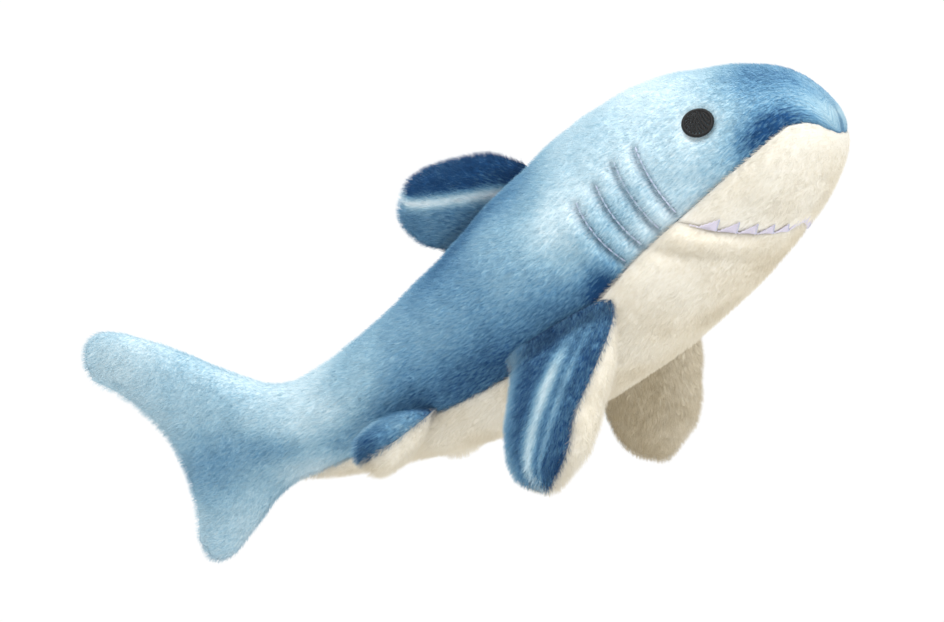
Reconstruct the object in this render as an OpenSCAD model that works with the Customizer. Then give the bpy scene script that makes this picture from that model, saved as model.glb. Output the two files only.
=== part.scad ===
// Plush shark: plush panels sewn round stuffing, with sewn-on fins that flap and a tail that wags.
// Millimetres. +X towards the nose, +Y to the shark's left, +Z up. The toy rests on its chin and on
// the tips of its two breast fins, nose down, and the origin is under the middle of the whole toy.

/* [Body] */
// Length of the body, from the nose to the root of the tail
body_length = 229; // [190:1:280]
// Height of the body at its deepest
body_depth = 85; // [70:1:104]
// Width of the body at its widest
body_width = 74; // [60:1:90]
// Distance from the nose to the middle of the mouth line
mouth_front = 29; // [22:1:36]
// Distance from the nose to the corners of the mouth
mouth_corner = 55; // [45:1:66]
// How far the toy leans nose down as it rests
rest_lean = 22; // [16:1:23]
// How deep the chin is pressed flat where it rests
rest_flat = 1.2; // [0.8:0.1:1.4]

/* [Plush] */
// Thickness of the plush, backing and pile together
plush = 1.8; // [1.5:0.1:2.2]
// Room between the plush and the stuffing
stuffing_gap = 0.3; // [0.2:0.1:0.6]
// Clear gap round each sewn root that moves
root_gap = 0.8; // [0.6:0.1:1.5]

/* [Tail] */
// Length of the tail, from its root to its rearmost point
tail_length = 76; // [62:1:92]
// Height of the tail fin from tip to tip
tail_height = 100; // [82:1:120]
// Thickness of the tail fin where it leaves the tail stock
tail_thick = 23; // [19:1:28]
// How far behind the tail's root the wag axis lies
wag_back = 9; // [6:1:12]

/* [Back fin] */
// Length of the back fin's root
dorsal_root = 46; // [38:1:55]
// Height of the back fin
dorsal_height = 25; // [21:1:31]
// Thickness of the back fin
dorsal_thick = 13; // [10:1:16]
// Distance from the nose to the middle of the back fin's root
dorsal_place = 131; // [120:1:142]

/* [Breast fins] */
// Length of a breast fin's root
pectoral_root = 41; // [34:1:48]
// Length of a breast fin, from root to tip
pectoral_reach = 47.5; // [40:0.5:56]
// Thickness of a breast fin
pectoral_thick = 17; // [14:1:20]
// Distance from the nose to the middle of a breast fin's root
pectoral_place = 112; // [102:1:122]

/* [Pelvic fins] */
// Length of a pelvic fin's root
pelvic_root = 26; // [21:1:31]
// Length of a pelvic fin, from root to tip
pelvic_reach = 19; // [15:1:23]
// Thickness of a pelvic fin
pelvic_thick = 12; // [9:0.5:14]
// Distance from the nose to the middle of a pelvic fin's root
pelvic_place = 185; // [176:1:192]
// How far a pelvic fin droops below level
pelvic_droop = 15; // [0:1:40]

/* [Embroidery] */
// Diameter of an eye
eye_d = 10.8; // [9:0.1:13]
// Distance from the nose to the middle of an eye
eye_place = 37; // [33:1:42]
// Width of a stitched line
stitch_w = 1.3; // [1:0.1:1.6]
// How far the embroidery stands out of the plush
stitch_h = 0.7; // [0.6:0.1:1]
// Distance from the nose to the first gill line
gill_place = 60; // [56:1:64]
// Distance from one gill line to the next
gill_step = 8.8; // [7:0.2:10]
// Height of a tooth
tooth_h = 6; // [5:0.5:8]
// Width of a tooth at its base
tooth_w = 3.6; // [3:0.1:4.2]

/* [Hidden] */

// Stations of the body: place along it, back line, belly line and half width (per cent of the body's
// length, depth, depth and half width), then the angle below level of the blue and cream seam.
BODY = [
    [0, 2, 2, 0, -5],
    [1.3, 17, -11, 33, -4],
    [4.8, 29, -20, 54, -3],
    [11.4, 40, -30, 73, -10],
    [22, 50, -40, 87, -16],
    [34, 52, -47, 95, -20],
    [46, 46, -51, 100, -28],
    [56, 40, -51, 96, -31],
    [66, 32, -47, 84, -32],
    [78, 25, -40, 65, -34],
    [90, 20, -32, 47, -42],
    [100, 20.5, -24, 35, -58]
];

// Stations of the tail: place and height of its upper edge, place and height of its lower edge (per
// cent of the tail's length and height), half thickness and hollow of the rear edge (per cent of
// the tail's thickness and length). Heights count from the body's level line.
TAIL = [
    [22, 27, 19, -15, 50, 1],
    [43, 45, 38, -17, 43, 5],
    [66, 62, 56, -23, 36, 11],
    [85, 71, 72, -27, 28, 17],
    [97, 66.5, 83, -24.5, 15, 20],
    [99, 56.5, 85, -15.5, 0, 18]
];

LAST_BODY = len(BODY) - 1;
LAST = len(BODY) + len(TAIL) - 1;
NOSE_ROWS = 4;

// Rows of [upper x, upper z, lower x, lower z, half width, hollow] in millimetres, nose to tail.
ROWS = concat(
    [for (r = BODY) [-r[0] * body_length / 100, r[1] * body_depth / 100,
        -r[0] * body_length / 100, r[2] * body_depth / 100, r[3] * body_width / 200, 0]],
    [for (r = TAIL) [-body_length - r[0] * tail_length / 100, r[1] * tail_height / 100,
        -body_length - r[2] * tail_length / 100, r[3] * tail_height / 100,
        r[4] * tail_thick / 100, r[5] * tail_length / 100]]);
// The row ahead of the nose mirrors the one behind it, so that the nose closes round.
BEFORE = [ROWS[1][2], ROWS[1][3], ROWS[1][0], ROWS[1][1], -ROWS[1][4], 0];
AFTER = 2 * ROWS[LAST] - ROWS[LAST - 1];
PLACES = [for (i = [0:LAST_BODY]) [BODY[i][0] * body_length / 100, i]];

// A smooth curve through four points, between the second and the third.
function curve(a, b, c, d, t) = 0.5 * (2 * b + (c - a) * t + (2 * a - 5 * b + 4 * c - d) * t * t
    + (3 * b - a - 3 * c + d) * t * t * t);
function row_point(i) = i < 0 ? BEFORE : i > LAST ? AFTER : ROWS[i];
function row(u) = let(i = min(floor(u), LAST - 1))
    curve(row_point(i - 1), row_point(i), row_point(i + 1), row_point(i + 2), u - i);
function row_of(along) = lookup(along, PLACES);
function seam(u) = let(i = min(floor(u), LAST_BODY - 1), t = u - i)
    BODY[i][4] * (1 - t) + BODY[i + 1][4] * t;

// A point of the body's surface at row u, or of the same surface drawn in by inset. The angle is 90
// along the back, 0 down the right side, -90 along the belly and -180 down the left side.
function skin(u, angle, inset = 0) =
    let(r = row(u), nose = ROWS[NOSE_ROWS],
        near_nose = max(0, 1 + r[0] / -nose[0]),
        near_end = max(0, (u - LAST + 3) / 3),
        half_h = (r[1] - r[3]) / 2, nose_h = (nose[1] - nose[3]) / 2,
        w = u < NOSE_ROWS ? r[4] * (1 - inset / nose[4]) : max(0, r[4] - inset),
        h = u < NOSE_ROWS ? half_h * (1 - inset / nose_h) : half_h - inset,
        middle = (r[0] + r[2]) / 2 + (r[0] - r[2]) / 2 * sin(angle),
        hollow = r[5] * pow(cos(angle), 2))
    [middle + hollow + inset * (near_end - near_nose), -w * cos(angle), (r[1] + r[3]) / 2 + h * sin(angle)];

// The same point where the toy lies at rest.
function leaned(p) = [p[0] * cos(rest_lean) + p[2] * sin(rest_lean), p[1],
    p[2] * cos(rest_lean) - p[0] * sin(rest_lean)];
OUTLINE = [for (i = [0:4 * LAST]) for (a = [-90:15:90]) leaned(skin(i / 4, a))];
FLOOR = min([for (p = OUTLINE) p[2]]) + rest_flat;
SHIFT = [-(max([for (p = OUTLINE) p[0]]) + min([for (p = OUTLINE) p[0]])) / 2, 0, -FLOOR];
function rest(u, angle, inset = 0) = leaned(skin(u, angle, inset)) + SHIFT;
function at(along, angle, inset = 0) = rest(row_of(along), angle, inset);

function unit(v) = v / norm(v);
function flip(p, side) = [p[0], p[1] * side, p[2]];
// The way out of the body at a point of its surface.
function out_of(along, angle) = unit(cross(at(along, angle + 2) - at(along, angle - 2),
    at(along + 2, angle) - at(along - 2, angle)));

// Faces of a closed solid between an outer and an inner grid of points with the same rows and
// columns. A first or last row that is a single point closes without an end face.
function quad(a, b, c, d) = [for (f = [[a, b, c], [a, c, d]]) if (f[0] != f[1] && f[1] != f[2] && f[0] != f[2]) f];
function grid_index(g, r, c, cols) = norm(g[r][0] - g[r][1]) < 0.0001 ? r * cols : r * cols + c;
module shell(outer, inner) {
    rows = len(outer);
    cols = len(outer[0]);
    size = rows * cols;
    o = [for (r = [0:rows - 1]) [for (c = [0:cols - 1]) grid_index(outer, r, c, cols)]];
    i = [for (r = [0:rows - 1]) [for (c = [0:cols - 1]) size + grid_index(inner, r, c, cols)]];
    polyhedron([for (g = [outer, inner]) for (r = g) for (p = r) p], concat(
        [for (r = [0:rows - 2]) for (c = [0:cols - 2])
            each quad(o[r][c], o[r][c + 1], o[r + 1][c + 1], o[r + 1][c])],
        [for (r = [0:rows - 2]) for (c = [0:cols - 2])
            each quad(i[r][c], i[r + 1][c], i[r + 1][c + 1], i[r][c + 1])],
        [for (r = [0:rows - 2]) each [
            each quad(o[r][0], o[r + 1][0], i[r + 1][0], i[r][0]),
            each quad(i[r][cols - 1], i[r + 1][cols - 1], o[r + 1][cols - 1], o[r][cols - 1])]],
        [for (c = [0:cols - 2]) each [
            each quad(o[0][c + 1], o[0][c], i[0][c], i[0][c + 1]),
            each quad(o[rows - 1][c], o[rows - 1][c + 1], i[rows - 1][c + 1], i[rows - 1][c])]]
    ));
}

// Rows shared by all the panels, so that their edges meet: nose to mouth corner, then to the tail.
MOUTH_ROWS = 8;
BODY_ROWS = 18;
END_ROW = LAST_BODY + 0.9;
CORNER_ROW = row_of(mouth_corner);
function share(i, n) = i / n;
SIDE_ROWS = concat([for (i = [0:MOUTH_ROWS]) CORNER_ROW * share(i, MOUTH_ROWS)],
    [for (i = [1:BODY_ROWS]) CORNER_ROW + (END_ROW - CORNER_ROW) * share(i, BODY_ROWS)]);
// The mouth line runs round the snout from corner to corner. f goes from 0, right, to 1, left.
function mouth_row(f) = row_of(mouth_front + (mouth_corner - mouth_front) * pow(2 * f - 1, 2));
function cream_angle(u, f) = seam(min(u, LAST_BODY)) + (-180 - 2 * seam(min(u, LAST_BODY))) * f;

SIDE_COLS = 8;
CREAM_COLS = 12;
function side_grid(inset) = [for (u = SIDE_ROWS) [for (c = [0:SIDE_COLS])
    let(low = seam(min(u, LAST_BODY))) rest(u, 90 + (low - 90) * share(c, SIDE_COLS), inset)]];
function muzzle_grid(inset) = [for (i = [0:MOUTH_ROWS]) [for (c = [0:CREAM_COLS])
    let(f = share(c, CREAM_COLS), u = mouth_row(f) * share(i, MOUTH_ROWS)) rest(u, cream_angle(u, f), inset)]];
function belly_grid(inset) = [for (i = [0:BODY_ROWS]) [for (c = [0:CREAM_COLS])
    let(f = share(c, CREAM_COLS), u = mouth_row(f) + (END_ROW - mouth_row(f)) * share(i, BODY_ROWS))
    rest(u, cream_angle(u, f), inset)]];

// The wag joint: the tail's front is round about an upright line through the tail stock, and the
// body's rear end is hollowed to take it.
WAG_ROW = LAST_BODY + wag_back / (TAIL[0][0] * tail_length / 100);
WAG_AT = leaned(skin(WAG_ROW, 90) + [0, 0, -skin(WAG_ROW, 90)[2]]) + SHIFT;
WAG_R = row(WAG_ROW)[4] + 1.5;
FAR = 400;
module wag_region(radius) {
    translate(WAG_AT) rotate([0, rest_lean, 0]) {
        cylinder(h = FAR, r = radius, center = true, $fn = 96);
        translate([-FAR, -FAR / 2, -FAR / 2]) cube(FAR);
    }
}
module ahead_of_tail() { difference() { children(); wag_region(WAG_R + root_gap); } }
module off_the_floor() { difference() { children(); translate([-FAR / 2, -FAR / 2, -FAR]) cube(FAR); } }

module side_panel() { color("lightsteelblue") ahead_of_tail() shell(side_grid(0), side_grid(plush)); }
module muzzle_panel() { color("ivory") off_the_floor() shell(muzzle_grid(0), muzzle_grid(plush)); }
module belly_panel() { color("ivory") off_the_floor() ahead_of_tail() shell(belly_grid(0), belly_grid(plush)); }

// A closed solid through rings of points, each ring symmetrical about its first point. The ends are
// closed in strips between the ring's two halves. A first or last ring may be a single point.
module rings(list) {
    n = len(list[0]);
    half = n / 2;
    last = len(list) - 1;
    k = [for (r = [0:last]) [for (c = [0:n]) grid_index(list, r, c % n, n)]];
    polyhedron([for (r = list) for (p = r) p], concat(
        [for (r = [0:last - 1]) for (c = [0:n - 1])
            each quad(k[r][c], k[r][c + 1], k[r + 1][c + 1], k[r + 1][c])],
        [for (c = [0:half - 1]) each quad(k[0][c + 1], k[0][c], k[0][n - c], k[0][n - c - 1])],
        [for (c = [0:half - 1])
            each quad(k[last][c], k[last][c + 1], k[last][n - c - 1], k[last][n - c])]
    ));
}

// Stuffing between two rows of the body.
module filling(first, last, steps, inset) {
    rings([for (i = [0:steps]) let(u = first + (last - first) * share(i, steps))
        [for (a = [90:-15:-255]) rest(u, a, inset)]]);
}
module body_stuffing() {
    color("white") off_the_floor() ahead_of_tail() filling(0, END_ROW, 26, plush + stuffing_gap);
}

// Tail: the body's own surface carried on, with the two lobes, ahead of and behind the wag line.
TAIL_FIRST = LAST_BODY - 1.2;
TAIL_STEPS = 18;
module tail_part() { intersection() { children(); wag_region(WAG_R); } }
module tail_panel() {
    angles = [for (a = [90:-18:-90]) a];
    rows = [for (i = [0:TAIL_STEPS]) TAIL_FIRST + (LAST - TAIL_FIRST) * share(i, TAIL_STEPS)];
    color("lightsteelblue") tail_part() shell(
        [for (u = rows) [for (a = angles) rest(u, a)]],
        [for (u = rows) [for (a = angles) rest(u, a, plush)]]);
}
module tail_stuffing() {
    color("white") tail_part() filling(TAIL_FIRST, LAST - 1.3, 14, plush + stuffing_gap);
}

// A raised stitched line through [place along, angle] points, with a width at each. Its base clears
// the flats of the panel that it is sewn on.
STITCH_BASE = 0.35;
module stitched_line(path, widths) {
    last = len(path) - 1;
    mids = [for (p = path) at(p[0], p[1])];
    outs = [for (p = path) out_of(p[0], p[1])];
    ways = [for (i = [0:last]) unit(mids[min(i + 1, last)] - mids[max(i - 1, 0)])];
    across = [for (i = [0:last]) unit(cross(outs[i], ways[i])) * widths[i] / 2];
    top = STITCH_BASE + stitch_h;
    shell([for (i = [0:last]) [mids[i] - across[i] + outs[i] * top, mids[i] + across[i] + outs[i] * top]],
        [for (i = [0:last])
            [mids[i] - across[i] + outs[i] * STITCH_BASE, mids[i] + across[i] + outs[i] * STITCH_BASE]]);
}

// The eye is made a little deep and the panel is taken away from it.
DEEP = 0.6;
EYE_ANGLE = 24;
module eye() {
    out = out_of(eye_place, EYE_ANGLE);
    r = eye_d / 2;
    color("black") difference() {
        translate(at(eye_place, EYE_ANGLE)) rotate([0, acos(out[2]), atan2(out[1], out[0])])
            rotate_extrude($fn = 48) polygon([[0, -DEEP], [r, -DEEP], [r, stitch_h / 2],
                [r * 0.8, stitch_h + 0.2], [0, stitch_h + 0.4]]);
        shell(side_grid(0), side_grid(plush));
    }
}

// Gill lines: [angle at the top, angle at the bottom], first line nearest the eye.
GILLS = [[27, -13], [25.5, -14.5], [21, -16], [20, -17.5]];
GILL_STEPS = 6;
function gill_path(i) = [for (k = [0:GILL_STEPS]) let(f = share(k, GILL_STEPS))
    [gill_place + gill_step * i - (3 + i) * f * f, GILLS[i][0] + (GILLS[i][1] - GILLS[i][0]) * f]];
module gill_stitches() {
    color("slategray") for (i = [0:len(GILLS) - 1])
        stitched_line(gill_path(i), [for (k = [0:GILL_STEPS]) stitch_w]);
}

// Teeth stand on the mouth line, at equal steps round the snout, and point at the nose.
TEETH = 12;
MOUTH_STEPS = 24;
function mouth_along(f) = mouth_front + (mouth_corner - mouth_front) * pow(2 * f - 1, 2);
function mouth_point(f) = let(s = mouth_along(f)) [s, cream_angle(row_of(s), f)];
module mouth_embroidery() {
    clear = [stitch_w / 2 + 0.2, 0];
    color("lavender") off_the_floor() {
        stitched_line([for (k = [0:MOUTH_STEPS]) mouth_point(0.03 + 0.94 * share(k, MOUTH_STEPS))],
            [for (k = [0:MOUTH_STEPS]) stitch_w]);
        for (k = [0:TEETH - 1]) {
            base = mouth_point(0.06 + 0.88 * (k + 0.5) / TEETH) - clear;
            stitched_line([base, base - [tooth_h * 0.5, 0], base - [tooth_h, 0]],
                [tooth_w, tooth_w * 0.55, 0.4]);
        }
    }
}

// A flat stuffed fin between a front and a rear edge, given as [along the root, away from it] in
// shares of the root's half length and the reach. Both edges end at the tip.
FIN_ROWS = 9;
FIN_COLS = 8;
function edge_point(e, i) = i < 0 ? 2 * e[0] - e[1] : i >= len(e) ? 2 * e[len(e) - 1] - e[len(e) - 2] : e[i];
function edge(e, t) = let(x = t * (len(e) - 1), i = min(floor(x), len(e) - 2))
    curve(edge_point(e, i - 1), edge_point(e, i), edge_point(e, i + 1), edge_point(e, i + 2), x - i);

// A fin is [root middle, way along the root, way out, face normal, half root, reach, half thickness,
// front edge, rear edge]. t goes from root to tip, v from the front edge (1) to the rear (-1).
function fin_point(fin, t, v, face, inset) =
    let(front = edge(fin[7], t), rear = edge(fin[8], t),
        pull = 1 - inset / fin[5],
        mid = (front + rear) / 2 + (front - rear) / 2 * v * pull,
        thick = fin[6] * (0.35 + 0.65 * sin(min(90, 200 * t))) * sqrt(max(0, 1 - pow(t, 6))))
    fin[0] + fin[1] * mid[0] * fin[4] + fin[2] * mid[1] * fin[5] * (1 - inset / fin[5])
        + fin[3] * face * max(0, thick - inset) * sqrt(max(0, 1 - v * v));
function fin_face(fin, face, inset, first = 0, last = 1) =
    [for (r = [0:FIN_ROWS]) let(t = first + (last - first) * sin(90 * share(r, FIN_ROWS)))
    [for (c = [0:FIN_COLS]) fin_point(fin, t, cos(180 * share(c, FIN_COLS)), face, inset)]];
module fin_panel(fin, face) {
    outer = fin_face(fin, face, 0);
    inner = fin_face(fin, face, plush);
    if (face > 0) shell(outer, inner); else shell(inner, outer);
}
// The stuffing stops short of the flat sewn root and of the tip.
module fin_stuffing(fin) {
    inset = plush + 2.5 * stuffing_gap;
    under = fin_face(fin, -1, inset, 0.15, 0.85);
    over = fin_face(fin, 1, inset, 0.15, 0.85);
    rings([for (r = [0:FIN_ROWS]) concat(over[r], [for (c = [FIN_COLS - 1:-1:1]) under[r][c]])]);
}

// A fin's root runs straight between two points of the body, held off it by the root gap.
function root_fin(place, root, angle_front, angle_rear, way_out, reach, thick, front, rear) =
    let(a = at(place - root / 2, angle_front), b = at(place + root / 2, angle_rear),
        along = unit(a - b), out = unit(way_out - along * (way_out * along)),
        bulge = max([for (f = [0.1:0.2:0.9])
            (at(place - root / 2 + root * f, angle_front + (angle_rear - angle_front) * f)
                - a * (1 - f) - b * f) * out]))
    [(a + b) / 2 + out * (bulge + root_gap + thick / 8), along, out, cross(along, out), root / 2, reach,
        thick / 2, front, rear];

DORSAL = root_fin(dorsal_place, dorsal_root, 90, 90, [0, 0, 1], dorsal_height, dorsal_thick,
    [[1, 0], [0.62, 0.5], [-0.12, 0.92], [-0.55, 1]], [[-0.9, 0], [-1.1, 0.3], [-1.08, 0.75], [-0.55, 1]]);

// The angles round the body of a breast fin's front and rear root ends, and how far the middle of
// its tip stands above the floor.
PECTORAL_ANGLES = [-28, -23];
TIP_RISE = 4.6;
PECTORAL_FRONT = [[1.02, 0], [0.8, 0.24], [0.36, 0.55], [-0.24, 0.85], [-1.1, 1]];
PECTORAL_REAR = [[-1.12, 0], [-1.35, 0.27], [-1.57, 0.55], [-1.55, 0.8], [-1.1, 1]];
// A breast fin droops until its tip is on the floor, where it is pressed a little flat. The left fins
// mirror the right ones.
PECTORAL =
    let(a = at(pectoral_place - pectoral_root / 2, PECTORAL_ANGLES[0]),
        b = at(pectoral_place + pectoral_root / 2, PECTORAL_ANGLES[1]),
        along = unit(a - b), level_out = unit(cross(along, [0, 0, 1])),
        up = cross(level_out, along), tip = (a + b) / 2 + along * PECTORAL_FRONT[4][0] * pectoral_root / 2,
        drop = asin(min(0.99, (tip[2] - TIP_RISE) / (pectoral_reach * up[2]))))
    root_fin(pectoral_place, pectoral_root, PECTORAL_ANGLES[0], PECTORAL_ANGLES[1],
        level_out * cos(drop) - up * sin(drop), pectoral_reach, pectoral_thick,
        PECTORAL_FRONT, PECTORAL_REAR);

PELVIC_ANGLES = [-28, -38];
PELVIC = root_fin(pelvic_place, pelvic_root, PELVIC_ANGLES[0], PELVIC_ANGLES[1],
    [0, -cos(pelvic_droop), -sin(pelvic_droop)], pelvic_reach, pelvic_thick,
    [[1, 0], [0.9, 0.45], [0.15, 0.86], [-0.65, 1]], [[-1, 0], [-1.4, 0.35], [-1.35, 0.8], [-0.65, 1]]);

module left_of() { mirror([0, 1, 0]) children(); }

module right_side_panel() { side_panel(); }
module left_side_panel() { left_of() side_panel(); }
module right_eye() { eye(); }
module left_eye() { left_of() eye(); }
module right_gill_stitches() { gill_stitches(); }
module left_gill_stitches() { left_of() gill_stitches(); }
module tail_right_panel() { tail_panel(); }
module tail_left_panel() { left_of() tail_panel(); }
module back_fin_right_panel() { color("steelblue") fin_panel(DORSAL, 1); }
module back_fin_left_panel() { color("steelblue") fin_panel(DORSAL, -1); }
module back_fin_stuffing() { color("white") fin_stuffing(DORSAL); }
module right_breast_fin_top() { color("steelblue") off_the_floor() fin_panel(PECTORAL, -1); }
module right_breast_fin_bottom() { color("ivory") off_the_floor() fin_panel(PECTORAL, 1); }
module right_breast_fin_stuffing() { color("white") off_the_floor() fin_stuffing(PECTORAL); }
module left_breast_fin_top() { left_of() right_breast_fin_top(); }
module left_breast_fin_bottom() { left_of() right_breast_fin_bottom(); }
module left_breast_fin_stuffing() { left_of() right_breast_fin_stuffing(); }
module right_pelvic_fin_top() { color("steelblue") fin_panel(PELVIC, -1); }
module right_pelvic_fin_bottom() { color("ivory") fin_panel(PELVIC, 1); }
module right_pelvic_fin_stuffing() { color("white") fin_stuffing(PELVIC); }
module left_pelvic_fin_top() { left_of() right_pelvic_fin_top(); }
module left_pelvic_fin_bottom() { left_of() right_pelvic_fin_bottom(); }
module left_pelvic_fin_stuffing() { left_of() right_pelvic_fin_stuffing(); }

right_side_panel();
left_side_panel();
muzzle_panel();
belly_panel();
body_stuffing();
right_eye();
left_eye();
right_gill_stitches();
left_gill_stitches();
mouth_embroidery();
tail_right_panel();
tail_left_panel();
tail_stuffing();
back_fin_right_panel();
back_fin_left_panel();
back_fin_stuffing();
right_breast_fin_top();
right_breast_fin_bottom();
right_breast_fin_stuffing();
left_breast_fin_top();
left_breast_fin_bottom();
left_breast_fin_stuffing();
right_pelvic_fin_top();
right_pelvic_fin_bottom();
right_pelvic_fin_stuffing();
left_pelvic_fin_top();
left_pelvic_fin_bottom();
left_pelvic_fin_stuffing();
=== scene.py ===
# %% [markdown]
# # A plush shark in Blender
# The toy is a stuffed shark, about 30 cm from nose to tail. It is sewn from blue and cream plush
# panels, filled with polyester fibre, and its eyes, gills and teeth are embroidered. The packed
# CAD part gives the frame: every piece here is built in its place round those solids.

# %% Load the frame
import math
import random

import bmesh
import bpy
import numpy as np
from mathutils import Matrix, Vector, noise


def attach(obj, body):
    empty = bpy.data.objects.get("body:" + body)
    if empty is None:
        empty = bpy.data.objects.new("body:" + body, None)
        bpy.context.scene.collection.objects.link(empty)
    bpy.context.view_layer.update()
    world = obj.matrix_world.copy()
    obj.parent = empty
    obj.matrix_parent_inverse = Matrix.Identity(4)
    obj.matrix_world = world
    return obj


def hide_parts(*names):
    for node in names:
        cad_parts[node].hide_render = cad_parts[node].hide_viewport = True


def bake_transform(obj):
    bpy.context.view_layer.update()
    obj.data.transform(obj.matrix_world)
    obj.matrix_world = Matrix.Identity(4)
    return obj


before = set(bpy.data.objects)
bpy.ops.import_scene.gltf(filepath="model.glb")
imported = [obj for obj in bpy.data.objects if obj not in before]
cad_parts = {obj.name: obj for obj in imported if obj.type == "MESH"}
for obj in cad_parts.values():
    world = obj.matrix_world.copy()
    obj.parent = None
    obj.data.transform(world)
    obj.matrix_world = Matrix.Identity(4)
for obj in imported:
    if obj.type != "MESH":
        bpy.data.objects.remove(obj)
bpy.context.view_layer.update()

MM = 0.001

# %% [markdown]
# ## The body's shape
# A soft toy's body is a smooth tube that swells and narrows. It could be sculpted by hand, but
# panels that meet at seams have to share one surface exactly. So the surface is described by
# stations from nose to tail, as a boat builder lofts a hull, and each panel is a grid laid on it.

# %% Stations of the body and tail
BODY_LENGTH, BODY_DEPTH, BODY_WIDTH = 229, 85, 74
TAIL_LENGTH, TAIL_HEIGHT, TAIL_THICK = 76, 100, 23
MOUTH_FRONT, MOUTH_CORNER, MOUTH_CURVE = 29, 58, 1.4
REST_LEAN = math.radians(22)
REST_FLAT = 1.2  # how far the chin is pressed flat, in millimetres
# place along, back line, belly line, half width (per cent), angle of the blue and cream seam
BODY = np.array([
    [0, 2, 2, 0, -5], [1.3, 17, -11, 33, -4], [4.8, 29, -20, 54, -3], [11.4, 40, -30, 73, -10],
    [22, 50, -40, 87, -16], [34, 52, -47, 95, -20], [46, 46, -51, 100, -28], [56, 40, -51, 96, -31],
    [66, 32, -47, 84, -32], [78, 25, -40, 65, -34], [90, 20, -32, 47, -42], [100, 20.5, -24, 35, -58]])
# upper edge, lower edge (place and height), half thickness, hollow of the rear edge (per cent)
TAIL = np.array([
    [22, 27, 19, -15, 50, 1], [43, 45, 38, -17, 43, 5], [66, 62, 56, -23, 36, 11],
    [85, 71, 72, -27, 28, 17], [97, 66.5, 83, -24.5, 15, 20], [99, 56.5, 85, -15.5, 0, 18]])
body_rows = np.stack([-BODY[:, 0] * BODY_LENGTH, BODY[:, 1] * BODY_DEPTH, -BODY[:, 0] * BODY_LENGTH,
    BODY[:, 2] * BODY_DEPTH, BODY[:, 3] * BODY_WIDTH / 2, BODY[:, 0] * 0], 1) / 100
tail_rows = np.stack([-TAIL[:, 0] * TAIL_LENGTH, TAIL[:, 1] * TAIL_HEIGHT, -TAIL[:, 2] * TAIL_LENGTH,
    TAIL[:, 3] * TAIL_HEIGHT, TAIL[:, 4] * TAIL_THICK, TAIL[:, 5] * TAIL_LENGTH], 1) / 100
tail_rows[:, [0, 2]] -= BODY_LENGTH
ROWS = np.concatenate([body_rows, tail_rows])
LAST, LAST_BODY, NOSE_ROWS = len(ROWS) - 1, len(BODY) - 1, 4
before = ROWS[1][[2, 3, 0, 1, 4, 5]] * [1, 1, 1, 1, -1, 0]
KNOTS = np.concatenate([[before], ROWS, [2 * ROWS[-1] - ROWS[-2]]])
TAPER_ROWS = 3
print("stations", len(ROWS))


# %% The surface of the body
def row_at(u):
    """A smooth curve through the stations; u counts them from the nose."""
    i = np.minimum(np.floor(u), LAST - 1).astype(int)
    t = (u - i)[..., None]
    a, b, c, d = (KNOTS[i + k] for k in range(4))
    return 0.5 * (2 * b + (c - a) * t + (2 * a - 5 * b + 4 * c - d) * t**2 + (3 * b - a - 3 * c + d) * t**3)


def level_skin(u, angle, inset=0.0):
    """Points in millimetres, nose at 0, before the toy is leaned. Angle 90 is the back, 0 the right side."""
    u, angle = np.broadcast_arrays(np.asarray(u, float), np.asarray(angle, float))
    r, nose = row_at(u), ROWS[NOSE_ROWS]
    co, si = np.cos(np.radians(angle)), np.sin(np.radians(angle))
    near_nose = np.maximum(0, 1 - r[..., 0] / nose[0])
    near_end = np.maximum(0, (u - LAST + TAPER_ROWS) / TAPER_ROWS)
    h = (r[..., 1] - r[..., 3]) / 2
    ahead = u < NOSE_ROWS
    w = np.where(ahead, r[..., 4] * (1 - inset / nose[4]), np.maximum(0, r[..., 4] - inset))
    h = np.where(ahead, h * (1 - inset / ((nose[1] - nose[3]) / 2)), h - inset)
    x = (r[..., 0] + r[..., 2]) / 2 + (r[..., 0] - r[..., 2]) / 2 * si
    x = x + r[..., 5] * co**2 + inset * (near_end - near_nose)
    return np.stack([x, -w * co, (r[..., 1] + r[..., 3]) / 2 + h * si], -1)


def leaned(p):
    c, s = math.cos(REST_LEAN), math.sin(REST_LEAN)
    return np.stack([p[..., 0] * c + p[..., 2] * s, p[..., 1], p[..., 2] * c - p[..., 0] * s], -1)


# the box is centred on its length, and the flat of the chin lies at height 0
quarter_rows, sample_angles = np.arange(4 * LAST + 1) / 4, np.arange(-90, 91, 15)
outline = leaned(level_skin(*np.meshgrid(quarter_rows, sample_angles, indexing="ij")))
middle_x = (outline[..., 0].max() + outline[..., 0].min()) / 2
SHIFT = np.array([-middle_x, 0, -outline[..., 2].min() - REST_FLAT])


def skin(u, angle, inset=0.0):
    """The surface where the toy rests, in metres."""
    return (leaned(level_skin(u, angle, inset)) + SHIFT) * MM


def unit(v):
    return v / np.maximum(np.linalg.norm(v, axis=-1, keepdims=True), 1e-12)


def skin_normal(u, angle):
    """The way out of the surface, from two small steps over it."""
    u = np.clip(u, 0.03, LAST - 0.02)
    way = skin(u + 0.02, angle) - skin(u - 0.02, angle)
    return unit(np.cross(skin(u, angle + 0.5) - skin(u, angle - 0.5), way))


def row_of(along):
    return np.interp(along, BODY[:, 0] * BODY_LENGTH / 100, np.arange(len(BODY)))


def along_of(u):
    return -row_at(np.asarray(u, float))[..., 0]


# the blue cloth caps the very nose, and the cream starts just under it
NOSE_CAP = 0.62
NOSE_SEAM_AT, NOSE_SEAM = [0, NOSE_CAP, 0.8, 1.1, 1.45], [-90, -90, -42, -16, -7]


def seam_angle(u):
    """The blue and cream seam; behind the body the cream runs out to a point under the tail."""
    side = np.interp(u, NOSE_SEAM_AT + list(range(2, len(BODY))), NOSE_SEAM + list(BODY[2:, 4]))
    behind = BODY[-1, 4] + (-90 - BODY[-1, 4]) * np.clip(u - LAST_BODY, 0, 1)
    return np.where(u <= LAST_BODY, side, behind)


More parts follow.
